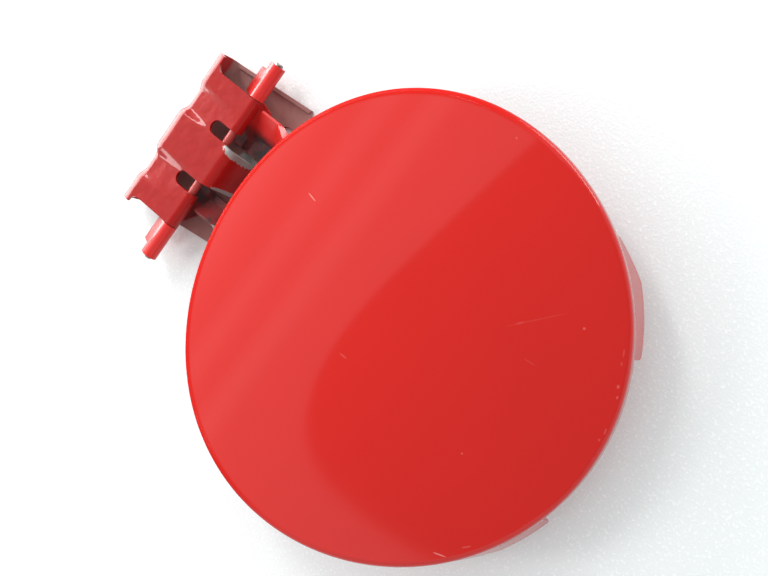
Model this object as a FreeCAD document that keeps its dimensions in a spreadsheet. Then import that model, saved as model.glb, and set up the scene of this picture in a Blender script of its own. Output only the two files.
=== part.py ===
# Round fuel filler flap with its hinge, in millimetres.
# +Z is the outside of the car, the hinge pin runs along Y and the flap lies towards +X.
# The origin is on the bracket's mounting face, on the line of its bolt holes, at the pin's middle.
import FreeCAD, Part
import math
import os

Vector = FreeCAD.Vector
doc = FreeCAD.newDocument("fuel_filler_flap")

# Driving sizes; places along X and Z in the hinge are measured from the pin, angles in degrees
SIZES = {
    # outer skin
    "flap_dia": 160.0, "crown_radius": 292.0, "skin_thick": 0.8, "rim_depth": 4.6,
    "rim_round": 2.2, "hem_width": 6.5, "seam_gap": 0.05,
    "flap_reach": 101.0, "crown_rise": 24.0,
    # skirts under the rim
    "skirt_depth": 13.5, "skirt_bend": 1.5, "skirt_taper": 14.0, "skirt_lean_angle": 10.0,
    "upper_skirt_start_angle": 30.0, "upper_skirt_end_angle": 58.0,
    "lower_skirt_start_angle": -14.0, "lower_skirt_end_angle": -38.0,
    # inner panel
    "panel_thick": 0.8, "flange_width": 15.5, "pan_depth": 5.0, "pan_bend": 3.0, "panel_edge_gap": 0.6,
    "bead_length": 56.0, "bead_width": 13.0, "bead_depth": 3.2, "bead_side": 33.0, "bead_shift": 4.0,
    "drain_dia": 18.0, "drain_shift": 22.0,
    # hinge pin
    "pin_dia": 3.2, "pin_length": 89.2, "pin_chamfer": 0.4, "pin_back": 12.5, "pin_height": 12.5,
    "run_gap": 0.05,
    # hinge bracket
    "sheet_thick": 1.4, "leaf_width": 57.4, "leaf_back": 19.5, "fold_round": 4.6,
    "wave_height": 1.3, "wave_run": 5.0, "crest_width": 14.0, "valley_width": 15.5, "ear_round": 3.2,
    "tongue_width": 17.6, "slot_width": 5.6, "slot_reach": 8.4, "knuckle_wrap_angle": 262.0,
    "fold_upper": 34.5, "fold_lower": 32.0, "foot_round": 4.0,
    "plate_front": 18.0, "plate_upper": 37.2, "plate_lower": 27.0, "plate_clip": 4.0,
    "lip_height": 0.8, "bolt_dia": 5.5, "bolt_spacing": 43.8, "bolt_shift": 2.4,
    "crest_rise": 0.6, "tongue_shoulder": 5.4, "shoulder_round": 5.0, "tongue_front": 12.3,
    "toe_round": 2.5, "tongue_toe": 4.6, "tongue_tip_width": 13.0,
    # hinge arm
    "side_gap": 0.3, "arm_end_gap": 1.0, "tail_slope_angle": 40.0, "arm_wrap_angle": 295.0, "arm_drop": 8.5,
    "tail_round": 4.0, "leg_width": 10.8, "leg_front": -2.0, "bar_back": -5.5,
    "elbow_front": 14.5, "elbow_round": 9.0,
    "floor_upper": 17.3, "floor_lower": 13.5, "upper_lean": 9.8, "lower_lean": 6.0, "wall_height": 6.4,
    "wall_back": 4.2, "wall_fade": 11.4, "wall_front": 36.0, "window_gap": 1.4, "window_front": 16.5,
    "pad_back": 48.0, "pad_length": 38.0, "pad_width": 32.0, "pad_corner": 8.0,
    # latch striker
    "striker_inset": 14.0, "striker_angle": 8.0, "striker_thick": 1.6, "striker_length": 22.0,
    "striker_width": 16.0, "lug_drop": 17.0, "lug_width": 13.0, "keeper_height": 7.0, "keeper_width": 6.5,
    "keeper_land": 3.0,
    # rubber stops
    "stop_spread_angle": 38.0, "stop_head_dia": 10.0, "stop_head_drop": 5.5,
    "stop_head_round": 1.0, "stop_stem_dia": 5.6, "stop_hole_dia": 6.0,
    "stop_lip_dia": 8.0, "stop_lip_thick": 1.2,
}
WAVE_POINTS = 3

sheet = doc.addObject("Spreadsheet::Sheet", "Sizes")
for row, (alias, number) in enumerate(SIZES.items(), start=1):
    sheet.set("A%d" % row, alias)
    sheet.set("B%d" % row, str(number))
    sheet.setAlias("B%d" % row, alias)
doc.recompute()


def size(alias):
    """Value of one cell of the sheet."""
    return float(sheet.get(alias))


# Places that several pieces share
SHEET = size("sheet_thick")
BORE = size("pin_dia") / 2 + size("run_gap")
ROLL = BORE + SHEET
GROUND = -size("pin_height")
PIN = Vector(-size("pin_back"), 0, size("pin_height"))
FLAP_X = PIN.x + size("flap_reach")
CROWN_Z = PIN.z + size("crown_rise")
FLAP_MIDDLE = "Sizes.flap_reach - Sizes.pin_back"
CROWN_AXIS = "Sizes.pin_height + Sizes.crown_rise - Sizes.crown_radius"

# Depths of the inner panel's faces below the crowned outer face
PANEL_LOW = "Sizes.rim_depth - Sizes.skin_thick - Sizes.seam_gap"
PANEL_TOP = PANEL_LOW + " - Sizes.panel_thick"
PAN_LOW = PANEL_LOW + " + Sizes.pan_depth"
PAN_TOP = PANEL_TOP + " + Sizes.pan_depth"
PANEL_DEPTH = size("rim_depth") - size("skin_thick") - size("seam_gap")
PAN_DEPTH = PANEL_DEPTH + size("pan_depth")

# Radii of the pan and of the ring that carries the rubber stops
PAN_RIM = "Sizes.flap_dia / 2 - Sizes.hem_width - Sizes.flange_width"
PAN_RADIUS = size("flap_dia") / 2 - size("hem_width") - size("flange_width")
STOP_RADIUS = PAN_RADIUS + size("flange_width") / 2


# Makers of document objects
def upright(name, radius):
    """Vertical cylinder on the flap's centre line."""
    bar = doc.addObject("Part::Cylinder", name)
    bar.setExpression("Radius", radius)
    bar.setExpression("Height", "2 * Sizes.crown_radius")
    bar.setExpression("Placement.Base.x", FLAP_MIDDLE)
    bar.setExpression("Placement.Base.z", CROWN_AXIS)
    return bar


def crown(name, depth):
    """Cylinder along Y whose surface lies the given depth below the crowned outer face."""
    bar = doc.addObject("Part::Cylinder", name)
    bar.Placement.Rotation = FreeCAD.Rotation(Vector(1, 0, 0), 90)
    bar.setExpression("Radius", "Sizes.crown_radius - (%s)" % depth)
    bar.setExpression("Height", "2 * Sizes.flap_dia")
    bar.setExpression("Placement.Base.x", FLAP_MIDDLE)
    bar.setExpression("Placement.Base.y", "Sizes.flap_dia")
    bar.setExpression("Placement.Base.z", CROWN_AXIS)
    return bar


def common(name, *pieces):
    result = doc.addObject("Part::MultiCommon", name)
    result.Shapes = list(pieces)
    return result


def fuse(name, *pieces):
    result = doc.addObject("Part::MultiFuse", name)
    result.Shapes = list(pieces)
    result.Refine = True
    return result


def cut(name, base, tool):
    result = doc.addObject("Part::Cut", name)
    result.Base = base
    result.Tool = tool
    return result


def rounded(name, base, radius, wanted):
    """Fillet on every edge of the base that the test picks."""
    doc.recompute()
    result = doc.addObject("Part::Fillet", name)
    result.Base = base
    numbered = enumerate(base.Shape.Edges, start=1)
    result.Edges = [(index, radius, radius) for index, edge in numbered if wanted(edge)]
    return result


def held(name, solid):
    """Document object that holds a solid made from the sheet's sizes."""
    result = doc.addObject("Part::Feature", name)
    result.Shape = solid
    return result


# Makers of plain shapes
def closed(points):
    """Face of an outline with straight sides."""
    return Part.Face(Part.makePolygon(list(points) + [points[0]]))


def block(low, high):
    """Box between two corners."""
    return Part.makeBox(high.x - low.x, high.y - low.y, high.z - low.z, low)


def bent_path(points, radii):
    """Edges of a line through the points, with a tangent arc of the given radius at each inner point."""
    edges = []
    start = points[0]
    for before, corner, after, radius in zip(points, points[1:], points[2:], radii):
        back = (before - corner).normalize()
        ahead = (after - corner).normalize()
        half_turn = back.getAngle(ahead) / 2
        run = radius / math.tan(half_turn)
        bisector = (back + ahead).normalize()
        nearest = corner + bisector * (radius / math.sin(half_turn) - radius)
        edges.append(Part.LineSegment(start, corner + back * run).toShape())
        edges.append(Part.Arc(corner + back * run, nearest, corner + ahead * run).toShape())
        start = corner + ahead * run
    edges.append(Part.LineSegment(start, points[-1]).toShape())
    return edges


def side_point(x, z):
    """Point of the hinge's side view, measured from the pin."""
    return Vector(x, 0, z)


def polar(radius, degrees):
    """Point of the side view at an angle round the pin."""
    angle = math.radians(degrees)
    return side_point(radius * math.cos(angle), radius * math.sin(angle))


def sheet_section(edges):
    """Side section of a bent sheet: a path and its parallel on the left of the travel."""
    return Part.Wire(edges).makeOffset2D(SHEET, 0, True, True)


def across(face, low, high):
    """Side section carried along Y between two places."""
    section = face.copy()
    section.translate(Vector(0, low, 0))
    return section.extrude(Vector(0, high - low, 0))


# Bodies with sketches
def sketch_on(body, name, role):
    """Empty sketch on one of the body's own origin planes."""
    sketch = body.newObject("Sketcher::SketchObject", name)
    plane = next(feature for feature in body.Origin.OriginFeatures if feature.Role == role)
    sketch.AttachmentSupport = [(plane, "")]
    sketch.MapMode = "FlatFace"
    return sketch


def draw(sketch, points):
    """Closed outline of straight sides in a sketch."""
    corners = [Vector(u, v, 0) for u, v in points]
    for first, last in zip(corners, corners[1:] + corners[:1]):
        sketch.addGeometry(Part.LineSegment(first, last), False)


def turned(name, points):
    """Body turned about its Z axis from a half section of radius and height."""
    body = doc.addObject("PartDesign::Body", name)
    section = sketch_on(body, name + "_section", "XZ_Plane")
    draw(section, points)
    turn = body.newObject("PartDesign::Revolution", name + "_turn")
    turn.Profile = section
    turn.ReferenceAxis = (section, ["V_Axis"])
    turn.Angle = 360.0
    return body


# Places on the underside of the crowned flap
def flap_seat(radius, degrees, depth):
    """Frame with Z along the crown's radius, at a place round the flap's centre and a depth."""
    x = radius * math.cos(math.radians(degrees))
    y = radius * math.sin(math.radians(degrees))
    slope = FreeCAD.Rotation(Vector(0, 1, 0), math.degrees(math.asin(x / size("crown_radius"))))
    axis = Vector(FLAP_X, y, CROWN_Z - size("crown_radius"))
    return FreeCAD.Placement(axis + slope.multVec(Vector(0, 0, size("crown_radius") - depth)), slope)


def stop_seats(depth):
    """Frames of the two rubber stops, one on each side of the striker."""
    angles = [size("striker_angle") + side * size("stop_spread_angle") for side in (1, -1)]
    return [flap_seat(STOP_RADIUS, angle, depth) for angle in angles]


# Outer skin: crowned disc with a rounded rim, a hem turned in under it and two skirts
def skirt_prism(name, first, last):
    """Block that cuts a skirt out of the rim: square at its first angle, tapered to its last."""
    radius = size("flap_dia") / 2
    side = math.copysign(1, last - first)
    length = radius * math.radians(abs(last - first))
    middle = math.radians((first + last) / 2)
    bend = size("skirt_bend")
    sag = radius ** 2 / (2 * size("crown_radius"))
    tip = size("skirt_depth") - size("rim_depth") + size("skin_thick")
    edges = bent_path([Vector(0, 0, sag), Vector(0, 0, -tip), Vector(length - size("skirt_taper"), 0, -tip),
                       Vector(length, 0, 0), Vector(length, 0, sag)], [bend, 2 * bend, bend])
    edges.append(Part.LineSegment(Vector(length, 0, sag), Vector(0, 0, sag)).toShape())
    face = Part.Face(Part.Wire(edges))
    face.translate(Vector(-length / 2, 0, 0))
    prism = face.extrude(Vector(0, -2 * size("hem_width"), 0))
    if side < 0:
        prism = prism.mirror(Vector(0, 0, 0), Vector(1, 0, 0))
    prism.rotate(Vector(0, 0, 0), Vector(0, 0, 1), 90 + math.degrees(middle))
    drop = (radius * math.cos(middle)) ** 2 / (2 * size("crown_radius"))
    reach = radius - size("hem_width")
    prism.translate(Vector(FLAP_X + reach * math.cos(middle), reach * math.sin(middle),
                           CROWN_Z - drop - size("rim_depth") + size("skin_thick")))
    return held(name, prism)


def rim_foot(degrees):
    """Point on the rim's lower edge at an angle round the flap's centre."""
    x = size("flap_dia") / 2 * math.cos(math.radians(degrees))
    y = size("flap_dia") / 2 * math.sin(math.radians(degrees))
    level = math.sqrt(size("crown_radius") ** 2 - x ** 2) - size("crown_radius")
    return Vector(FLAP_X + x, y, CROWN_Z + level - size("rim_depth"))


def lean_out(bar, first, last):
    """Turns a vertical bar about the chord of a skirt's root, so that the skirt leans out downwards."""
    bar.setExpression("Placement.Base.x", None)
    bar.setExpression("Placement.Base.z", None)
    chord = rim_foot(last) - rim_foot(first)
    lean = math.copysign(size("skirt_lean_angle"), first - last)
    turn = FreeCAD.Placement(Vector(0, 0, 0), FreeCAD.Rotation(chord, lean), rim_foot(first))
    upright_place = FreeCAD.Placement(Vector(FLAP_X, 0, CROWN_Z - size("crown_radius")), FreeCAD.Rotation())
    bar.Placement = turn.multiply(upright_place)


def outer_skin():
    rim = "Sizes.flap_dia / 2"

    def top_edge(edge):
        return edge.Length > size("flap_dia") and edge.CenterOfMass.z > 0

    slug = common("skin_slug", upright("rim_bar", rim), crown("crown_bar", "0"))
    outside = rounded("skin_outside", slug, size("rim_round"), top_edge)
    void = common("skin_void", upright("rim_bore", rim + " - Sizes.skin_thick"),
                  crown("crown_bore", "Sizes.skin_thick"))
    inside = rounded("skin_inside", void, size("rim_round") - size("skin_thick"), top_edge)
    dish = cut("skin_dish", cut("skin_wall", outside, inside), crown("rim_trim", "Sizes.rim_depth"))
    ring = cut("hem_ring", upright("hem_bar", rim), upright("hem_bore", rim + " - Sizes.hem_width"))
    band = common("hem_band", ring, crown("hem_top", "Sizes.rim_depth - Sizes.skin_thick"))
    hem = cut("hem_return", band, crown("hem_low", "Sizes.rim_depth"))
    skirts = []
    for side in ("upper", "lower"):
        first = size(side + "_skirt_start_angle")
        last = size(side + "_skirt_end_angle")
        bar = upright(side + "_skirt_bar", rim)
        bore = upright(side + "_skirt_bore", rim + " - Sizes.skin_thick")
        for round_bar in (bar, bore):
            lean_out(round_bar, first, last)
        prism = skirt_prism(side + "_prism", first, last)
        top = crown(side + "_skirt_top", "Sizes.rim_depth - Sizes.skin_thick / 2")
        skirts.append(common(side + "_skirt", cut(side + "_skirt_tube", bar, bore), prism, top))
    return fuse("outer_skin", dish, hem, *skirts)


# Inner panel: thin plate on the hem with a pressed pan, two beads, a drain hole and the stops' holes
def bead(name, side, wall):
    """Long ellipsoid across the pan's floor, at one side of the middle and inside a wall."""
    egg = doc.addObject("Part::Ellipsoid", name)
    egg.setExpression("Radius1", "2 * Sizes.bead_depth - %s" % wall)
    egg.setExpression("Radius2", "Sizes.bead_length / 2 - %s" % wall)
    egg.setExpression("Radius3", "Sizes.bead_width / 2 - %s" % wall)
    egg.setExpression("Placement.Base.x", FLAP_MIDDLE + " + Sizes.bead_shift")
    egg.setExpression("Placement.Base.y", "%d * Sizes.bead_side" % side)
    floor = "Sizes.pin_height + Sizes.crown_rise - (%s)" % PAN_LOW
    egg.setExpression("Placement.Base.z", floor + " + Sizes.bead_depth")
    return egg


def inner_panel():
    pan_level = CROWN_Z - PAN_DEPTH

    def low_edge(edge):
        return edge.Length > PAN_RADIUS and edge.CenterOfMass.z < pan_level

    rim = "Sizes.flap_dia / 2 - Sizes.skin_thick - Sizes.panel_edge_gap"
    slab = common("panel_slug", upright("panel_bar", rim), crown("panel_top", PANEL_TOP))
    plate = cut("panel_plate", slab, crown("panel_low", PANEL_LOW))
    ring = cut("panel_ring", plate, upright("pan_opening", PAN_RIM + " - Sizes.panel_thick"))
    slug = common("pan_slug", upright("pan_bar", PAN_RIM), crown("pan_rim", PANEL_TOP))
    block_under = cut("pan_block", slug, crown("pan_low", PAN_LOW))
    outside = rounded("pan_outside", block_under, size("pan_bend"), low_edge)
    bore = cut("pan_void", upright("pan_bore", PAN_RIM + " - Sizes.panel_thick"), crown("pan_top", PAN_TOP))
    inside = rounded("pan_inside", bore, size("pan_bend") - size("panel_thick"), low_edge)
    dish = cut("pan_dish", outside, inside)
    for side, label in ((1, "upper_bead"), (-1, "lower_bead")):
        hollow = bead(label + "_hollow", side, "Sizes.panel_thick")
        shell = cut(label + "_shell", bead(label, side, "0 * Sizes.panel_thick"), hollow)
        wall = common(label + "_wall", shell, crown(label + "_top", PAN_TOP))
        dish = fuse(label + "_joined", cut(label + "_opening", dish, hollow), wall)
    drain = upright("drain_bar", "Sizes.drain_dia / 2")
    drain.setExpression("Placement.Base.x", FLAP_MIDDLE + " + Sizes.drain_shift")
    panel = cut("panel_drained", fuse("panel_joined", ring, dish), drain)
    for index, seat in enumerate(stop_seats(PANEL_DEPTH + size("pan_depth")), start=1):
        hole = doc.addObject("Part::Cylinder", "stop_hole_%d" % index)
        hole.setExpression("Radius", "Sizes.stop_hole_dia / 2")
        hole.setExpression("Height", "2 * Sizes.pan_depth")
        hole.Placement = seat
        panel = cut("panel_holed_%d" % index, panel, hole)
    return panel


# Hinge pin: plain rod with chamfered ends
def hinge_pin():
    radius = size("pin_dia") / 2
    half = size("pin_length") / 2
    bevel = size("pin_chamfer")
    body = turned("hinge_pin", [(0, -half), (radius - bevel, -half), (radius, bevel - half),
                                (radius, half - bevel), (radius - bevel, half), (0, half)])
    body.Placement = FreeCAD.Placement(PIN, FreeCAD.Rotation(Vector(1, 0, 0), 90))
    return body


# Hinge bracket: one folded sheet with a waved leaf, two rolled knuckles, a tongue and a bolted plate
def wave_height(y):
    """Height of the waved leaf at a Y: a middle plateau, a valley on each side, then level ends."""
    off = abs(y) - size("crest_width") / 2
    run = size("wave_run")
    floor = -size("wave_height")
    crest = size("crest_rise")
    fall = 0.5 - 0.5 * math.cos(math.pi * min(max(off / run, 0), 1))
    rise = 0.5 - 0.5 * math.cos(math.pi * min(max((off - size("valley_width") + run) / run, 0), 1))
    return crest + (floor - crest) * fall - floor * rise


def wave_section(share, place):
    """Wire across the folded sheet, with a share of the wave's full height.

    The place function turns a Y and a height above the level leaf into a point.
    """
    low = -size("fold_lower")
    high = size("fold_upper")
    count = round((high - low) / size("wave_run") * WAVE_POINTS)
    ys = [low + (high - low) * step / count for step in range(count + 1)]
    upper = [place(y, share * wave_height(y)) for y in ys]
    lower = [place(y, share * wave_height(y) - SHEET) for y in ys]
    top = Part.BSplineCurve()
    top.interpolate(upper)
    under = Part.BSplineCurve()
    under.interpolate(lower)
    ends = [Part.LineSegment(upper[index], lower[index]).toShape() for index in (0, -1)]
    return Part.Wire(Part.__sortEdges__([top.toShape(), under.toShape()] + ends))


def folded_leaf():
    """Leaf, fold, rear wall and heel; the wave fades out towards the pin and towards the plate."""
    back = -size("leaf_back")
    bend = size("fold_round")
    wall_x = back - bend
    heel_z = GROUND + size("foot_round")
    leaf_start = wave_section(1, lambda y, height: Vector(back, y, ROLL + height))
    leaf_end = wave_section(0, lambda y, height: Vector(0, y, ROLL + height))
    wall_start = wave_section(1, lambda y, height: Vector(wall_x - height, y, ROLL - bend))
    wall_end = wave_section(0, lambda y, height: Vector(wall_x - height, y, heel_z))
    leaf = Part.makeLoft([leaf_start, leaf_end], True, True)
    half_leaf = size("leaf_width") / 2
    ear = size("ear_round")
    wide = size("plate_upper") + bend
    for side in (1, -1):
        outer = block(Vector(back + ear, 0, -bend), Vector(bend, wide - half_leaf, ROLL + bend))
        corner = block(Vector(back, ear, -bend), Vector(back + ear, wide - half_leaf, ROLL + bend))
        hollow = Part.makeCylinder(ear, ROLL + 2 * bend, Vector(back + ear, ear, -bend))
        notch = outer.multiFuse([corner, hollow])
        if side < 0:
            notch = notch.mirror(Vector(0, 0, 0), Vector(0, 1, 0))
        notch.translate(Vector(0, side * half_leaf, 0))
        leaf = leaf.cut(notch)
    fold = Part.Face(leaf_start).revolve(Vector(back, 0, ROLL - bend), Vector(0, 1, 0), -90)
    wall = Part.makeLoft([wall_start, wall_end], True, True)
    heel_axis = Vector(wall_x + size("foot_round"), 0, heel_z)
    heel = Part.Face(wall_end).revolve(heel_axis, Vector(0, 1, 0), -90)
    return [leaf, fold, wall, heel]


def tongue():
    """Strip over the pin and down to a toe on the plate, narrower towards the toe."""
    crest = ROLL
    toe_top = GROUND + 2 * SHEET
    toe_end = size("tongue_front") + size("tongue_toe")
    edges = bent_path([side_point(toe_end, toe_top), side_point(size("tongue_front"), toe_top),
                       side_point(size("tongue_shoulder"), crest), side_point(-ROLL, crest)],
                      [size("toe_round"), size("shoulder_round")])
    half = size("tongue_width") / 2
    tip = size("tongue_tip_width") / 2
    strip = across(sheet_section(edges), -half, half)
    plan = closed([Vector(-2 * ROLL, -half, GROUND), Vector(0, -half, GROUND), Vector(toe_end, -tip, GROUND),
                   Vector(toe_end, tip, GROUND), Vector(0, half, GROUND), Vector(-2 * ROLL, half, GROUND)])
    return strip.common(plan.extrude(Vector(0, 0, 2 * size("pin_height"))))


def bolted_plate():
    """Plate with a clipped ear, and an upturned lip along its upper edge."""
    rear = -size("leaf_back") - size("fold_round") + size("foot_round")
    front = size("plate_front")
    clip = size("plate_clip")
    lower = -size("plate_lower")
    ear = Vector(front - clip / 2, size("plate_upper"), GROUND)
    fold_end = Vector(rear, size("fold_upper"), GROUND)
    outline = [Vector(rear, -size("fold_lower"), GROUND), Vector(front - clip, lower, GROUND),
               Vector(front, lower + clip, GROUND), Vector(front, size("plate_upper") - clip, GROUND),
               ear, fold_end]
    inward = Vector(0, -SHEET, 0)
    lip = closed([fold_end, ear, ear + inward, fold_end + inward])
    return [closed(outline).extrude(Vector(0, 0, SHEET)),
            lip.extrude(Vector(0, 0, SHEET + size("lip_height")))]


def hinge_bracket():
    half_leaf = size("leaf_width") / 2
    half_tongue = size("tongue_width") / 2
    slot = size("slot_width")
    inner = half_tongue + slot
    wrap = size("knuckle_wrap_angle")
    arc = Part.Arc(polar(ROLL, 90 - wrap), polar(ROLL, 90 - wrap / 2), polar(ROLL, 90))
    roll = sheet_section([arc.toShape()])
    knuckles = [across(roll, inner, half_leaf), across(roll, -half_leaf, -inner)]
    leaf, *others = folded_leaf()
    bracket = leaf.multiFuse(others + bolted_plate() + [tongue()] + knuckles)
    slot_back = slot / 2 - size("slot_reach")
    for side in (1, -1):
        middle = side * (half_tongue + slot / 2)
        end = Part.makeCylinder(slot / 2, 2 * ROLL, Vector(slot_back, middle, 0))
        run = block(Vector(slot_back, middle - slot / 2, 0), Vector(ROLL, middle + slot / 2, 2 * ROLL))
        bolt_y = size("bolt_shift") + side * size("bolt_spacing") / 2
        bolt = Vector(size("pin_back"), bolt_y, GROUND - SHEET)
        hole = Part.makeCylinder(size("bolt_dia") / 2, 3 * SHEET, bolt)
        bracket = bracket.cut(end.fuse(run)).cut(hole)
    piece = held("hinge_bracket", bracket.removeSplitter())
    piece.Placement.Base = PIN
    return piece


# Hinge arm: forked gooseneck with a rolled knuckle on each leg, a trough and a pad under the flap
def pad_point(x):
    """Point of the pad's underside, on an arc about the crown's axis."""
    radius = size("crown_radius") - PAN_DEPTH - size("seam_gap") - SHEET
    axis_z = size("crown_rise") - size("crown_radius")
    return side_point(x, axis_z + math.sqrt(radius ** 2 - (x - size("flap_reach")) ** 2))


def arm_bends():
    """Corner points of the gooseneck's underside from the roll to the pad."""
    slope = math.radians(size("tail_slope_angle"))
    drop = -size("arm_drop")
    tail = polar(ROLL, 90 + size("tail_slope_angle"))
    heel = tail - side_point(math.cos(slope), math.sin(slope)) * ((tail.z - drop) / math.sin(slope))
    elbow = side_point(size("elbow_front"), drop)
    pad = pad_point(size("pad_back"))
    rise = math.asin((size("flap_reach") - pad.x) / (size("crown_radius") - PAN_DEPTH))
    knee = pad - side_point(math.cos(rise), math.sin(rise)) * size("elbow_round")
    return tail, heel, elbow, knee, pad


def trough_wall(side, foot, lean):
    """Leaning wall carried along the edge of the trough's floor."""
    tail, heel, elbow, knee, pad = arm_bends()
    rise = size("wall_height")
    length = math.hypot(lean, rise)
    inward = -rise / length * SHEET
    upward = lean / length * SHEET
    corners = [(foot, 0), (foot + lean, rise), (foot + lean + inward, rise + upward),
               (foot + inward, upward)]
    section = [Vector(size("wall_back"), side * y, z - size("arm_drop")) for y, z in corners]
    line = [side_point(size("wall_back"), elbow.z), elbow, knee]
    spine = Part.Wire(bent_path(line, [size("elbow_round")]))
    return spine.makePipeShell([Part.makePolygon(section + section[:1])], True, False)


def hinge_arm():
    tail, heel, elbow, knee, pad = arm_bends()
    drop = -size("arm_drop")
    end_x = size("pad_back") + size("pad_length")
    start = 90 + size("tail_slope_angle") - size("arm_wrap_angle")
    roll = Part.Arc(polar(ROLL, start), polar(ROLL, start + size("arm_wrap_angle") / 2), tail).toShape()
    bends = bent_path([tail, heel, elbow, knee, pad],
                      [size("tail_round"), size("elbow_round"), size("elbow_round")])
    seat = Part.Arc(pad, pad_point((pad.x + end_x) / 2), pad_point(end_x)).toShape()
    half = size("pin_length") / 2 - size("arm_end_gap")
    strip = across(sheet_section([roll] + bends + [seat]), -half, half)

    # plan of the strip: the trough's floor and the pad, then a leg and a roll on each side
    inner = size("leaf_width") / 2 + size("side_gap")
    leg = inner + size("leg_width")
    far = 2 * heel.x
    tall = 2 * size("crown_rise")
    bar_back = size("bar_back")
    bar_front = size("wall_back")
    corner = size("pad_corner")
    pad_half = size("pad_width") / 2
    pad_start = size("pad_back") - corner

    def plan(points):
        face = closed([Vector(x, y, 2 * drop) for x, y in points])
        return face.extrude(Vector(0, 0, tall - 2 * drop))

    upper = size("floor_upper")
    lower = -size("floor_lower")
    floor = plan([(bar_back, lower), (bar_front, lower), (pad_start, -pad_half),
                  (end_x - corner, -pad_half), (end_x, corner - pad_half), (end_x, pad_half - corner),
                  (end_x - corner, pad_half), (pad_start, pad_half), (bar_front, upper), (bar_back, upper)])
    legs = []
    for side, shoulder in ((1, upper + size("upper_lean")), (-1, size("lower_lean") - lower)):
        legs.append(plan([(far, side * inner), (far, side * leg), (size("leg_front"), side * leg),
                          (size("leg_front"), side * inner), (bar_front, side * shoulder), (bar_front, 0),
                          (bar_back, 0), (bar_back, side * inner)]))
        rolls = sorted((side * inner, side * half))
        legs.append(block(Vector(-ROLL, rolls[0], -ROLL), Vector(ROLL, rolls[1], ROLL)))
    sheet_part = strip.common(floor.multiFuse(legs))
    clear = block(Vector(far, -inner, drop + 2 * SHEET), Vector(bar_front, inner, tall))
    sheet_part = sheet_part.cut(clear)

    # walls of the trough, running out before the pad
    fade_back = size("wall_fade")
    fade = closed([side_point(fade_back, tall), side_point(fade_back, drop + size("wall_height") + SHEET),
                   side_point(size("wall_front"), knee.z - SHEET), side_point(end_x, knee.z - SHEET),
                   side_point(end_x, tall)])
    walls = [trough_wall(1, upper, size("upper_lean")), trough_wall(-1, -lower, size("lower_lean"))]
    arm = sheet_part.multiFuse([wall.cut(across(fade, -half, half)) for wall in walls])

    # window round the tongue, open to the back so that the arm is a fork
    gap = size("tongue_width") / 2 + size("window_gap")
    window = block(Vector(far, -gap, 2 * drop), Vector(size("window_front"), gap, tall))
    piece = held("hinge_arm", arm.cut(window).removeSplitter())
    piece.Placement.Base = PIN
    return piece


# Latch striker: angle of sheet under the free side of the pan, with a keeper hole in its lug
def latch_striker():
    thick = size("striker_thick")
    front = size("striker_length") / 2
    body = doc.addObject("PartDesign::Body", "latch_striker")
    angle = sketch_on(body, "striker_angle_section", "XZ_Plane")
    draw(angle, [(-front, 0), (front, 0), (front, -size("lug_drop")), (front - thick, -size("lug_drop")),
                 (front - thick, -thick), (-front, -thick)])
    pad = body.newObject("PartDesign::Pad", "striker_angle_pad")
    pad.Profile = angle
    pad.SideType = "Symmetric"
    pad.setExpression("Length", "Sizes.striker_width")
    doc.recompute()
    keeper = sketch_on(body, "striker_keeper_outline", "YZ_Plane")
    low = size("keeper_land") - size("lug_drop")
    high = low + size("keeper_height")
    half = size("keeper_width") / 2
    draw(keeper, [(-half, low), (half, low), (half, high), (-half, high)])
    side = size("striker_width") / 2
    lug = size("lug_width") / 2
    for sign in (1, -1):
        draw(keeper, [(sign * lug, -2 * thick), (sign * side, -2 * thick), (sign * side, -size("lug_drop")),
                      (sign * lug, -size("lug_drop"))])
    pocket = body.newObject("PartDesign::Pocket", "striker_keeper_hole")
    pocket.Profile = keeper
    pocket.Type = "ThroughAll"
    pocket.SideType = "Symmetric"
    radius = PAN_RADIUS - size("striker_inset")
    seat_drop = front ** 2 / (2 * (size("crown_radius") - PAN_DEPTH)) + size("seam_gap")
    body.Placement = flap_seat(radius, size("striker_angle"), PAN_DEPTH + seat_drop)
    return body


# Rubber stops: buttons pressed through the inner panel's flange
def stop_buffer(name, seat):
    head = size("stop_head_dia") / 2
    stem = size("stop_stem_dia") / 2
    lip = size("stop_lip_dia") / 2
    low = -size("stop_head_drop")
    soft = size("stop_head_round")
    gap = 2 * size("seam_gap")
    grip = size("panel_thick") + gap
    body = turned(name, [(0, low), (head - soft, low), (head, low + soft), (head, -gap), (stem, -gap),
                         (stem, grip), (lip, grip), (stem, grip + size("stop_lip_thick")),
                         (0, grip + size("stop_lip_thick"))])
    body.Placement = seat
    return body


PIECES = {
    "outer_skin": outer_skin(),
    "inner_panel": inner_panel(),
    "hinge_pin": hinge_pin(),
    "hinge_bracket": hinge_bracket(),
    "hinge_arm": hinge_arm(),
    "latch_striker": latch_striker(),
}
for name, stop_seat in zip(("upper_stop", "lower_stop"), stop_seats(PANEL_DEPTH)):
    PIECES[name] = stop_buffer(name, stop_seat)
for node, piece in PIECES.items():
    piece.Label = node
doc.recompute()

# Every object has to be sound before anything is written
for item in doc.Objects:
    if "Invalid" in item.State or "Error" in item.State:
        raise RuntimeError("failed object: " + item.Name)
for node, piece in PIECES.items():
    if piece.Shape.isNull() or not piece.Shape.isValid():
        raise RuntimeError("unsound shape: " + node)
    box = piece.Shape.BoundBox
    print("%-14s solids %d volume %9.1f  X %.1f..%.1f  Y %.1f..%.1f  Z %.1f..%.1f" % (
        node, len(piece.Shape.Solids), piece.Shape.Volume,
        box.XMin, box.XMax, box.YMin, box.YMax, box.ZMin, box.ZMax))

os.makedirs("parts", exist_ok=True)
for node, piece in PIECES.items():
    piece.Shape.exportStep("parts/%s.step" % node)
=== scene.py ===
import math
from collections import namedtuple

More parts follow.
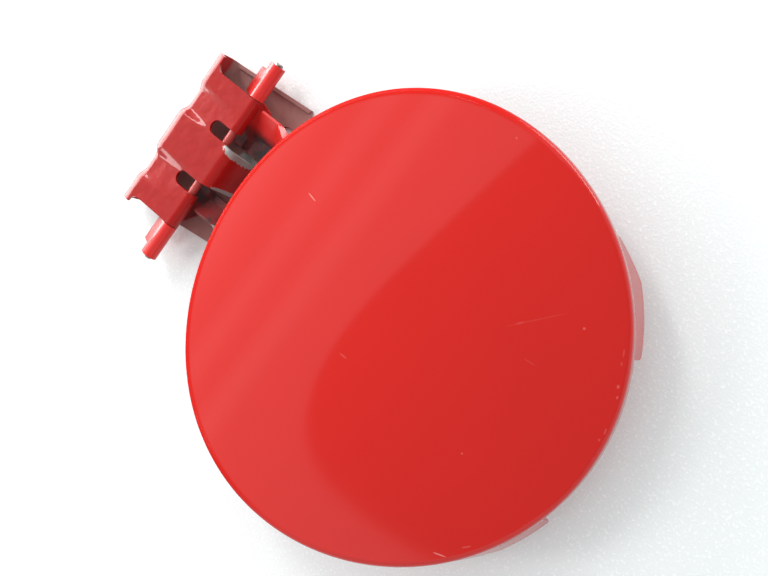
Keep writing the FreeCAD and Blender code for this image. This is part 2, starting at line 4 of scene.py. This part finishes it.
import bpy
import numpy as np
from mathutils import Euler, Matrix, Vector


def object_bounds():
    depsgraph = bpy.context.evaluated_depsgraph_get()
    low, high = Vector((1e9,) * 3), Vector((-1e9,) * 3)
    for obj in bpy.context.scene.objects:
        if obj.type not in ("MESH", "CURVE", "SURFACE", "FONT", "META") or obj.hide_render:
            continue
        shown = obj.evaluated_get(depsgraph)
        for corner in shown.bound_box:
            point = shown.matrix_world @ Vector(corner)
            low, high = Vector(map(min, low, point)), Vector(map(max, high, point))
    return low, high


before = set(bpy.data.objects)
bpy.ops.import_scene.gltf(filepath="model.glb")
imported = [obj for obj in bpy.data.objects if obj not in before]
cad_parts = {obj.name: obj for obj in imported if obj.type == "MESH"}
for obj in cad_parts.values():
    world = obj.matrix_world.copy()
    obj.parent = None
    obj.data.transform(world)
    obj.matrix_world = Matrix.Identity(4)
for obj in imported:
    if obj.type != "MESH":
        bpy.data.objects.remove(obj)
CAD_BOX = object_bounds()

MM = 0.001

# Camera of the photograph, looking down on the flap from its free side: its place in metres, its turn in
# degrees, its lens and sensor in millimetres
CAMERA_PLACE = Vector((210.8, 73.7, 405.8)) * MM
CAMERA_TURN = (4.45, 21.05, 38.70)
CAMERA_NEAREST = 0.01
LENS = 56.25
SENSOR = 36.0

# Places on the part that the finishes use, in millimetres
PIN_Z = 12.5
FLAP_X = 88.5
FLAP_RADIUS = 80.0

# Places where one finish passes into another, in millimetres: heights inside the fold, lengths along the
# pin, distances in from the edge of the flap and places along X
FOLD_RED_END = PIN_Z + 1.5
FOLD_DULL_START = PIN_Z - 3.5
PLATE_BROWN_END = 6.0
PLATE_BROWN_FULL = 3.5
PIN_PAINT_END = 42.7
PIN_BARE_START = 43.1
# Painted shade fills the arm's trough from this length along the pin down to the one two lines below
TROUGH_SHADE_UPPER = 17.0
WALL_RED_START = 21.0
TROUGH_SHADE_LOWER = -27.0
LEG_RED_START = -29.0
TAIL_START = -15.0
TAIL_FULL = -17.0
WALL_INSET = 0.5
RIM_START_INSET = 3.2
RIM_FULL_INSET = 2.0
FREE_SIDE_X = 110.0
HINGE_SIDE_X = 70.0

# Floor and reflected cards, in millimetres
FLOOR_HALF = 2000.0
FLOOR_GAP = 0.2
CARD_HEIGHT = 636.5
CARD_REACH = 1100.0
CARD_CORNER = np.array((-258.5, -257.0))
CARD_SLANT = np.array((0.459, 0.889))
CARD_SLANT_START = 211.0
CARD_EDGE_START = 287.0
CARD_CURVE_POINTS = 25
STRIP_LOW = -450.0
STRIP_HIGH = 260.0
FOLD_CARD_X = -110.0
FOLD_CARD_HALF = 60.0
FOLD_CARD_LOW = 2.0
FOLD_CARD_HIGH = 90.0

# What the cards give off, where 1 is white
CARD_LEVEL = 0.2
FOLD_LEVEL = 10.0

# Colours, linear
RED = (0.595, 0.017, 0.013, 1)
HINGE_RED = (0.41, 0.010, 0.008, 1)
# Painted light: a brighter copy of the hinge red, for the arm's rolled ends and upper wall
LIT_ROLL_RED = (0.74, 0.022, 0.018, 1)
PANEL_RED = (0.42, 0.014, 0.012, 1)
# Painted light: a deep red lightened to stand in for bounce light under the flap
DEEP_RED = (0.40, 0.036, 0.036, 1)
# Painted shade: dark red for the arm's trough under the flap
TROUGH_SHADE_RED = (0.22, 0.016, 0.016, 1)
PALE_RED = (0.86, 0.36, 0.33, 1)
# Grey pink for the flap's wall: dust, with a painted reflection of the pale floor
DUST_AND_SHEEN = (0.34, 0.22, 0.22, 1)
# Overspray brown, lightened as painted bounce light under the flap
OVERSPRAY_AND_BOUNCE = (0.50, 0.25, 0.225, 1)
DARK_OVERSPRAY = (0.22, 0.095, 0.09, 1)
# Painted shade: near black for patches in the arm's trough
SHADE_BLACK = (0.03, 0.014, 0.014, 1)
STEEL = (0.46, 0.45, 0.43, 1)
DARK_STEEL = (0.10, 0.095, 0.09, 1)
ZINC = (0.58, 0.57, 0.52, 1)
RUBBER = (0.016, 0.016, 0.017, 1)
RUBBER_DUST = (0.07, 0.066, 0.06, 1)
FLOOR = (0.86, 0.89, 0.885, 1)
SPECK = (0.97, 1.0, 1.0, 1)
SURROUNDINGS = (0.77, 0.79, 0.80, 1)
STRIP_GLOW = (1.12, 1.12, 1.12, 1)
BLACK = (0, 0, 0, 1)

# Refraction of the clear coat on all the glossy paint
COAT_IOR = 1.5

# Numbers of the sockets of Blender's colour Mix node
MIX_SHARE = 0
MIX_FIRST = 6
MIX_SECOND = 7
MIX_COLOUR = 2


# Shader maths
class Wire:
    """A value socket of a finish; arithmetic on it adds Math nodes."""

    def __init__(self, finish, socket):
        self.finish = finish
        self.socket = socket

    def maths(self, operation, first, second):
        return self.finish.node("ShaderNodeMath", {"operation": operation}, {0: first, 1: second})

    def __add__(self, other):
        return self.maths("ADD", self, other)

    def __sub__(self, other):
        return self.maths("SUBTRACT", self, other)

    def __rsub__(self, other):
        return self.maths("SUBTRACT", other, self)

    def __mul__(self, other):
        return self.maths("MULTIPLY", self, other)

    __radd__ = __add__
    __rmul__ = __mul__

    def largest(self, other):
        return self.maths("MAXIMUM", self, other)

    def size(self):
        return self.finish.node("ShaderNodeMath", {"operation": "ABSOLUTE"}, {0: self})


class Finish:
    """One material: a principled shader and the nodes that feed it, on Object coordinates."""

    def __init__(self, name, **constants):
        self.material = bpy.data.materials.new(name)
        self.material.use_nodes = True
        self.tree = self.material.node_tree
        self.shader = self.tree.nodes["Principled BSDF"]
        self.place = self.node("ShaderNodeTexCoord", {}, {}, "Object")
        self.feed(**constants)

    def node(self, kind, settings, sockets, output=0):
        """Any node: its settings come first, then a value or a link for each of its sockets."""
        made = self.tree.nodes.new(kind)
        for name, value in settings.items():
            setattr(made, name, value)
        for name, value in sockets.items():
            self.link(made.inputs[name], value)
        return Wire(self, made.outputs[output])

    def link(self, socket, value):
        """A wire is linked to the socket; a constant is set on it."""
        if isinstance(value, Wire):
            self.tree.links.new(value.socket, socket)
        else:
            socket.default_value = value

    def feed(self, **sockets):
        """Constants and links for the shader's own sockets."""
        for name, value in sockets.items():
            self.link(self.shader.inputs[name.replace("_", " ")], value)

    def axis(self, letter):
        """One Object coordinate in millimetres."""
        return self.node("ShaderNodeSeparateXYZ", {}, {0: self.place}, letter) * (1 / MM)

    def flat_length(self, vector):
        """Length of a vector's part in the XY plane."""
        flat = self.node("ShaderNodeVectorMath", {"operation": "MULTIPLY"}, {0: vector, 1: (1, 1, 0)})
        return self.node("ShaderNodeVectorMath", {"operation": "LENGTH"}, {0: flat}, "Value")

    def noise(self, grain, detail=4.0, rough=0.55):
        """Noise from 0 to 1 whose largest patches are about grain millimetres across."""
        return self.node("ShaderNodeTexNoise", {}, {
            "Vector": self.place, "Scale": 1 / (grain * MM), "Detail": detail, "Roughness": rough})

    def step(self, value, low, high):
        """Smooth step of a value from 0 at low to 1 at high, where low may be the larger."""
        return self.node("ShaderNodeMapRange", {"interpolation_type": "SMOOTHSTEP"}, {
            "Value": value, "From Min": low, "From Max": high})

    def mix(self, share, first, second):
        """Colour between two colours."""
        return self.node("ShaderNodeMix", {"data_type": "RGBA"}, {
            MIX_SHARE: share, MIX_FIRST: first, MIX_SECOND: second}, MIX_COLOUR)

    def bump(self, height, strength, depth):
        """Normal that tilts with a height from 0 to 1 of the given depth in millimetres."""
        self.feed(Normal=self.node("ShaderNodeBump", {}, {
            "Height": height, "Strength": strength, "Distance": depth * MM}))


def duller(colour, share):
    """The same paint with its red lowered to a share."""
    red, green, blue, opaque = colour
    return (red * share, green, blue, opaque)


# Marks in the paint, and one painted highlight: place of the middle, half length, half width, turn from X
# and how pale they are
Mark = namedtuple("Mark", "x y length width turn pale")
SKIN_MARKS = {
    "scratch by the hinge": Mark(x=38.2, y=16.6, length=2.2, width=0.22, turn=-9, pale=1.0),
    "scuff in the middle": Mark(x=83.2, y=-17.7, length=1.6, width=0.3, turn=2, pale=0.22),
    "dot by the free side": Mark(x=140.7, y=38.7, length=0.45, width=0.4, turn=0, pale=0.45),
    "long hairline": Mark(x=127.3, y=31.7, length=10.5, width=0.16, turn=50, pale=0.12),
    "short hairline": Mark(x=133.6, y=19.7, length=2.2, width=0.2, turn=5, pale=0.14),
    "pair of specks": Mark(x=123.9, y=27.8, length=1.4, width=0.35, turn=50, pale=0.16),
    "first rim chip": Mark(x=154.7, y=40.0, length=1.3, width=0.25, turn=-60, pale=0.2),
    "second rim chip": Mark(x=156.2, y=36.9, length=0.6, width=0.3, turn=-60, pale=0.22),
    "third rim chip": Mark(x=159.6, y=30.5, length=0.6, width=0.45, turn=-65, pale=0.4),
    "fourth rim chip": Mark(x=161.4, y=27.6, length=0.5, width=0.35, turn=-65, pale=0.4),
    "fifth rim chip": Mark(x=164.9, y=16.7, length=1.1, width=0.3, turn=-75, pale=0.25),
    "sixth rim chip": Mark(x=165.0, y=13.4, length=0.4, width=0.3, turn=0, pale=0.3),
    "low speck": Mark(x=134.3, y=-17.3, length=0.35, width=0.35, turn=0, pale=0.4),
    # Painted highlight: a pale streak on the lower rim
    "highlight on the lower rim": Mark(x=148.2, y=-48.4, length=2.1, width=0.25, turn=20, pale=0.9),
    "scuff on the lower rim": Mark(x=153.3, y=-40.8, length=1.6, width=0.3, turn=50, pale=0.25),
    "speck on the upper side": Mark(x=86.8, y=73.9, length=0.4, width=0.3, turn=0, pale=0.35),
}
TONGUE_CHIPS = {
    "upper edge": Mark(x=-5.6, y=7.3, length=5.2, width=2.0, turn=-9, pale=1.0),
    "lower edge": Mark(x=-3.0, y=-7.1, length=3.2, width=1.1, turn=12, pale=1.0),
}


def spot(finish, mark, ragged):
    """Mask of one mark: 1 inside an ellipse whose edge is made ragged by noise."""
    turned = finish.node("ShaderNodeMapping", {"vector_type": "TEXTURE"}, {
        "Vector": finish.place,
        "Location": (mark.x * MM, mark.y * MM, 0),
        "Rotation": (0, 0, math.radians(mark.turn)),
        "Scale": (mark.length * MM, mark.width * MM, 1)}, "Vector")
    waver = (finish.noise(grain=1.1, detail=3, rough=0.7) - 0.5) * ragged
    return finish.step(finish.flat_length(turned) + waver, low=1.1, high=0.85)


def marked(finish, marks, ragged):
    """Mask of all the marks, each as strong as it is pale."""
    whole = None
    for mark in marks.values():
        mask = spot(finish, mark, ragged) * mark.pale
        whole = whole.largest(mask) if whole else mask
    return whole


def from_middle(finish):
    """Distance from the flap's middle line in millimetres."""
    middle = (FLAP_X * MM, 0, 0)
    moved = finish.node("ShaderNodeVectorMath", {"operation": "SUBTRACT"}, {0: finish.place, 1: middle})
    return finish.flat_length(moved) * (1 / MM)


# Finishes
def skin_paint():
    """Glossy red with faint orange peel, scuffs, pale nicks and a painted highlight; dust and painted
    reflection on the wall; dull rim on the hinge side.
    """
    finish = Finish("skin_paint", Coat_Roughness=0.08, Coat_IOR=COAT_IOR, Specular_IOR_Level=0.0)
    scuff_pale, nick_highlight_pale = 0.10, 0.5
    dust_sheen_least, dust_sheen_spread = 0.28, 0.4
    rough, cloud_rough, nick_highlight_rough = 0.34, 0.06, 0.3
    rim_loss = 0.95

    # Pale nicks, chips and specks, and one painted highlight on the lower rim
    nicks_and_highlight = marked(finish, SKIN_MARKS, ragged=0.5)
    cloud = finish.noise(grain=38, detail=3)
    rubbed = finish.step(finish.noise(grain=17), low=0.5, high=0.7)
    scuff = finish.step(finish.noise(grain=1.3, detail=6, rough=0.7), low=0.68, high=0.78) * rubbed
    away = from_middle(finish)
    wall = finish.step(away, low=FLAP_RADIUS - WALL_INSET, high=FLAP_RADIUS)
    # The wall is mixed towards grey pink: dust, with a painted reflection of the pale floor
    dust_and_sheen = wall * (dust_sheen_least + finish.noise(grain=6) * dust_sheen_spread)
    rim = finish.step(away, low=FLAP_RADIUS - RIM_START_INSET, high=FLAP_RADIUS - RIM_FULL_INSET)
    hinge_side = finish.step(finish.axis("X"), low=FREE_SIDE_X, high=HINGE_SIDE_X)

    tone = finish.mix(cloud, RED, duller(RED, 0.93))
    tone = finish.mix(scuff * scuff_pale, tone, PALE_RED)
    tone = finish.mix(dust_and_sheen, tone, DUST_AND_SHEEN)
    finish.feed(Base_Color=finish.mix(nicks_and_highlight * nick_highlight_pale, tone, PALE_RED))
    finish.feed(Roughness=rough + cloud * cloud_rough + nicks_and_highlight * nick_highlight_rough)
    finish.feed(Coat_Weight=1 - rim * hinge_side * rim_loss)
    finish.bump(finish.noise(grain=2.6, detail=2), strength=0.06, depth=0.05)
    return finish.material


def hinge_paint():
    """Thick glossy red outside; dull brown overspray inside the fold and on the plate, lightened as painted
    bounce light; chips to steel.
    """
    finish = Finish("hinge_paint", Coat_Roughness=0.04, Coat_IOR=COAT_IOR, Specular_IOR_Level=0.1)
    waver = 2.5
    chip_metal = 0.6
    rough, inside_rough, chip_rough = 0.3, 0.3, 0.15
    coat, coat_loss = 0.6, 0.55

    depth = finish.axis("Z") + finish.noise(grain=5) * waver
    inside = finish.step(depth, low=FOLD_RED_END, high=FOLD_DULL_START)
    plate = finish.step(depth, low=PLATE_BROWN_END, high=PLATE_BROWN_FULL)
    chip = marked(finish, TONGUE_CHIPS, ragged=1.3)

    tone = finish.mix(finish.noise(grain=11), HINGE_RED, duller(HINGE_RED, 0.86))
    brown = finish.mix(finish.noise(grain=14, detail=3), OVERSPRAY_AND_BOUNCE, DARK_OVERSPRAY)
    # Painted light: below the pin the deep red and the overspray brown are lightened to stand in for bounce
    # light
    tone = finish.mix(inside, tone, finish.mix(plate, DEEP_RED, brown))
    finish.feed(Base_Color=finish.mix(chip, tone, STEEL), Metallic=chip * chip_metal)
    finish.feed(Roughness=rough + inside * inside_rough + chip * chip_rough)
    finish.feed(Coat_Weight=coat - inside.largest(chip) * coat_loss)
    finish.bump(finish.noise(grain=8, detail=2), strength=0.6, depth=1.2)
    return finish.material


def arm_paint():
    """Glossy red with painted light on the rolled ends and upper wall; painted shade of dark red and near
    black in the trough and under the flap.
    """
    finish = Finish("arm_paint", Coat_Roughness=0.05, Coat_IOR=COAT_IOR, Specular_IOR_Level=0.3)
    rough, inside_rough, shade_patch_rough = 0.3, 0.1, 0.15
    coat, inside_loss, tail_loss = 0.5, 0.25, 0.45

    along = finish.axis("Y")
    # Mask of the arm's trough under the flap, where shade is painted
    below_wall = finish.step(along, low=WALL_RED_START, high=TROUGH_SHADE_UPPER)
    inside = below_wall * finish.step(along, low=LEG_RED_START, high=TROUGH_SHADE_LOWER)
    tail = finish.step(finish.axis("X"), low=TAIL_START, high=TAIL_FULL)
    # Painted shade: patches of near black over the dark red of the trough
    shade_patches = finish.step(finish.noise(grain=9), low=0.40, high=0.66)

    # Painted light: the rolled ends and upper wall take the brighter red; the tail keeps the hinge's own
    # red
    tone = finish.mix(finish.noise(grain=9), LIT_ROLL_RED, duller(LIT_ROLL_RED, 0.9))
    tone = finish.mix(tail, tone, HINGE_RED)
    finish.feed(Base_Color=finish.mix(inside, tone, finish.mix(shade_patches, TROUGH_SHADE_RED, SHADE_BLACK)))
    finish.feed(Roughness=rough + inside * inside_rough + shade_patches * shade_patch_rough)
    finish.feed(Coat_Weight=coat - inside * inside_loss - tail * tail_loss)
    finish.bump(finish.noise(grain=3.5, detail=3), strength=0.18, depth=0.15)
    return finish.material


def panel_paint():
    """Thin satin red on the hidden side, with deeper patches and fine specks of overspray."""
    finish = Finish("panel_paint", Specular_IOR_Level=0.4)
    speck_pale = 0.4
    rough, patch_rough = 0.42, 0.2

    patch = finish.step(finish.noise(grain=24, detail=6, rough=0.6), low=0.46, high=0.66)
    speck = finish.step(finish.noise(grain=1.1, detail=2), low=0.66, high=0.74)

    tone = finish.mix(patch, PANEL_RED, DEEP_RED)
    finish.feed(Base_Color=finish.mix(speck * speck_pale, tone, OVERSPRAY_AND_BOUNCE))
    finish.feed(Roughness=rough + patch * patch_rough)
    finish.bump(finish.noise(grain=1.4, detail=3), strength=0.15, depth=0.08)
    return finish.material


def pin_metal():
    """Steel pin: worn red paint between the knuckles, bare turned steel at its two ends."""
    finish = Finish("pin_metal", Specular_IOR_Level=0.5)
    waver = 0.6
    worn = 0.25
    rough, grain_rough = 0.32, 0.15

    grain = finish.noise(grain=0.8, detail=5)
    along = finish.axis("Y").size() + finish.noise(grain=1.2) * waver
    bare = finish.step(along, low=PIN_PAINT_END, high=PIN_BARE_START)

    tone = finish.mix(grain * worn, HINGE_RED, PALE_RED)
    metal = finish.mix(grain, STEEL, DARK_STEEL)
    finish.feed(Base_Color=finish.mix(bare, tone, metal), Metallic=bare)
    finish.feed(Roughness=rough + grain * grain_rough)
    finish.bump(grain, strength=0.1, depth=0.05)
    return finish.material


def zinc_plate():
    """Zinc plated striker with cloudy spangle and rubbed grey patches."""
    finish = Finish("zinc_plate", Specular_IOR_Level=0.5)
    tarnish = 0.2
    rough, cloud_rough = 0.28, 0.25

    cloud = finish.noise(grain=5, detail=5, rough=0.6)
    finish.feed(Base_Color=finish.mix(cloud, ZINC, DARK_STEEL), Metallic=1 - cloud * tarnish)
    finish.feed(Roughness=rough + cloud * cloud_rough)
    finish.bump(finish.noise(grain=0.6, detail=3), strength=0.1, depth=0.05)
    return finish.material


def rubber():
    """Matt black rubber, dusty in its fine grain."""
    finish = Finish("rubber", Specular_IOR_Level=0.35)
    dust_pale = 0.6
    rough, dust_rough = 0.62, 0.25

    dust = finish.step(finish.noise(grain=2.2, detail=6, rough=0.65), low=0.5, high=0.75)
    finish.feed(Base_Color=finish.mix(dust * dust_pale, RUBBER, RUBBER_DUST))
    finish.feed(Roughness=rough + dust * dust_rough)
    finish.bump(finish.noise(grain=0.5, detail=3), strength=0.25, depth=0.05)
    return finish.material


def pale_board():
    """White board with a fine raised grain and whiter specks."""
    finish = Finish("pale_board", Roughness=0.4, Specular_IOR_Level=0.5)
    grain = finish.noise(grain=1.0, detail=2, rough=0.5)
    speck = finish.step(grain, low=0.54, high=0.74)
    finish.feed(Base_Color=finish.mix(speck, FLOOR, SPECK))
    finish.bump(grain, strength=0.35, depth=0.3)
    return finish.material


def glowing(name):
    """Finish that reflects nothing and gives off its Emission Color."""
    return Finish(name, Base_Color=BLACK, Roughness=1.0, Specular_IOR_Level=0.0, Emission_Strength=1.0)


def even_glow(name, level):
    """The same grey light all over."""
    finish = glowing(name)
    finish.feed(Emission_Color=(level, level, level, 1))
    return finish.material


def soft_glow(name, middle, half):
    """Light along a line of one X, fading on both sides into the brightness of the surroundings."""
    finish = glowing(name)
    share = finish.step((finish.axis("X") - middle).size(), low=half, high=0)
    finish.feed(Emission_Color=finish.mix(share, SURROUNDINGS, STRIP_GLOW))
    return finish.material


FINISHES = {
    "outer_skin": skin_paint(),
    "inner_panel": panel_paint(),
    "hinge_bracket": hinge_paint(),
    "hinge_arm": arm_paint(),
    "hinge_pin": pin_metal(),
    "latch_striker": zinc_plate(),
}
FINISHES["upper_stop"] = FINISHES["lower_stop"] = rubber()
for node, material in FINISHES.items():
    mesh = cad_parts[node].data
    mesh.materials.clear()
    mesh.materials.append(material)


# Floor and reflected cards
def flat_sheet(name, outline, material):
    """Flat stage piece with one face inside an outline of points in millimetres."""
    mesh = bpy.data.meshes.new(name)
    mesh.from_pydata((np.asarray(outline) * MM).tolist(), [], [range(len(outline))])
    mesh.materials.append(material)
    made = bpy.data.objects.new(name, mesh)
    bpy.context.scene.collection.objects.link(made)
    return made


def at_height(outline, height):
    """Outline in the XY plane lifted to one height."""
    return np.column_stack([outline, np.full(len(outline), height)])


def rectangle(left, right, low, high):
    """Corners of a rectangle, anticlockwise."""
    return np.array([(left, low), (right, low), (right, high), (left, high)])


def floor():
    """Pale board under the bracket's mounting face."""
    board = rectangle(FLAP_X - FLOOR_HALF, FLAP_X + FLOOR_HALF, -FLOOR_HALF, FLOOR_HALF)
    level = CAD_BOX[0][2] / MM - FLOOR_GAP
    flat_sheet("floor", at_height(board, level), pale_board())


def reflected_only(piece):
    """Leaves a stage piece to reflections alone, so that it lights and shades nothing else."""
    piece.visible_camera = False
    piece.visible_diffuse = False
    piece.visible_transmission = False
    piece.visible_shadow = False


def dark_card():
    """Dark card above the flap: two straight edges joined by a quadratic curve round the near corner."""
    slant_start = CARD_CORNER + CARD_SLANT * CARD_SLANT_START
    edge_start = CARD_CORNER + np.array((CARD_EDGE_START, 0.0))
    share = np.linspace(0, 1, CARD_CURVE_POINTS)[:, None]
    curve = (1 - share) ** 2 * slant_start + 2 * share * (1 - share) * CARD_CORNER + share ** 2 * edge_start
    far = CARD_CORNER + CARD_SLANT * CARD_REACH
    across = np.array((CARD_REACH, 0.0))
    outline = np.vstack([curve, CARD_CORNER + across, far + across, far])
    card = flat_sheet("dark_card", at_height(outline, CARD_HEIGHT), even_glow("card_grey", CARD_LEVEL))
    reflected_only(card)


# Soft strips of light beside the card: the X of the middle line and half the width
Strip = namedtuple("Strip", "middle half")
STRIPS = {
    "near_strip": Strip(middle=-362.0, half=80.0),
    "middle_strip": Strip(middle=-545.0, half=100.0),
    "far_strip": Strip(middle=-930.0, half=260.0),
}


def glow_strips():
    """Soft bright strips at the card's height, parallel to the hinge pin."""
    for name, strip in STRIPS.items():
        sides = rectangle(strip.middle - strip.half, strip.middle + strip.half, STRIP_LOW, STRIP_HIGH)
        glow = soft_glow(name + "_glow", strip.middle, strip.half)
        reflected_only(flat_sheet(name, at_height(sides, CARD_HEIGHT), glow))


def fold_card():
    """Low upright bright card behind the hinge, for the wet shine along the fold."""
    sides = rectangle(-FOLD_CARD_HALF, FOLD_CARD_HALF, FOLD_CARD_LOW, FOLD_CARD_HIGH)
    outline = np.column_stack([np.full(len(sides), FOLD_CARD_X), sides])
    reflected_only(flat_sheet("fold_card", outline, even_glow("fold_glow", FOLD_LEVEL)))


# Light and camera
def panel_light(name, place, target, width, length, power):
    """Rectangular soft white light at a place, facing a target."""
    lamp = bpy.data.lights.new(name, "AREA")
    lamp.shape = "RECTANGLE"
    lamp.size = width
    lamp.size_y = length
    lamp.energy = power
    made = bpy.data.objects.new(name, lamp)
    made.location = place
    made.rotation_euler = (Vector(target) - Vector(place)).to_track_quat("-Z", "Y").to_euler()
    bpy.context.scene.collection.objects.link(made)


def studio():
    """Pale surroundings, two low windows for the flap and two narrow strips for the ridges of the hinge."""
    world = bpy.data.worlds.new("studio")
    world.use_nodes = True
    background = world.node_tree.nodes["Background"]
    background.inputs["Color"].default_value = SURROUNDINGS
    background.inputs["Strength"].default_value = 1.0
    bpy.context.scene.world = world
    flap = (FLAP_X * MM, 0, 0)
    hinge = (-0.02, 0, 0.02)
    panel_light("window", place=(-1.2, 0.2, 0.40), target=flap, width=1.1, length=0.55, power=13)
    panel_light("side_window", place=(0.05, 1.3, 0.38), target=flap, width=1.0, length=0.4, power=7)
    panel_light("upper_strip", place=(-0.52, 0.36, 0.80), target=hinge, width=0.10, length=0.5, power=2.2)
    panel_light("lower_strip", place=(-0.52, -0.62, 0.62), target=hinge, width=0.16, length=0.5, power=2.2)


def camera():
    """Camera of the photograph."""
    lens = bpy.data.cameras.new("camera")
    lens.sensor_width = SENSOR
    lens.lens = LENS
    lens.clip_start = CAMERA_NEAREST
    made = bpy.data.objects.new("camera", lens)
    made.location = CAMERA_PLACE
    made.rotation_euler = Euler([math.radians(angle) for angle in CAMERA_TURN], "XYZ")
    bpy.context.scene.collection.objects.link(made)
    bpy.context.scene.camera = made


floor()
dark_card()
glow_strips()
fold_card()
studio()
camera()
bpy.context.scene.view_settings.view_transform = "Standard"
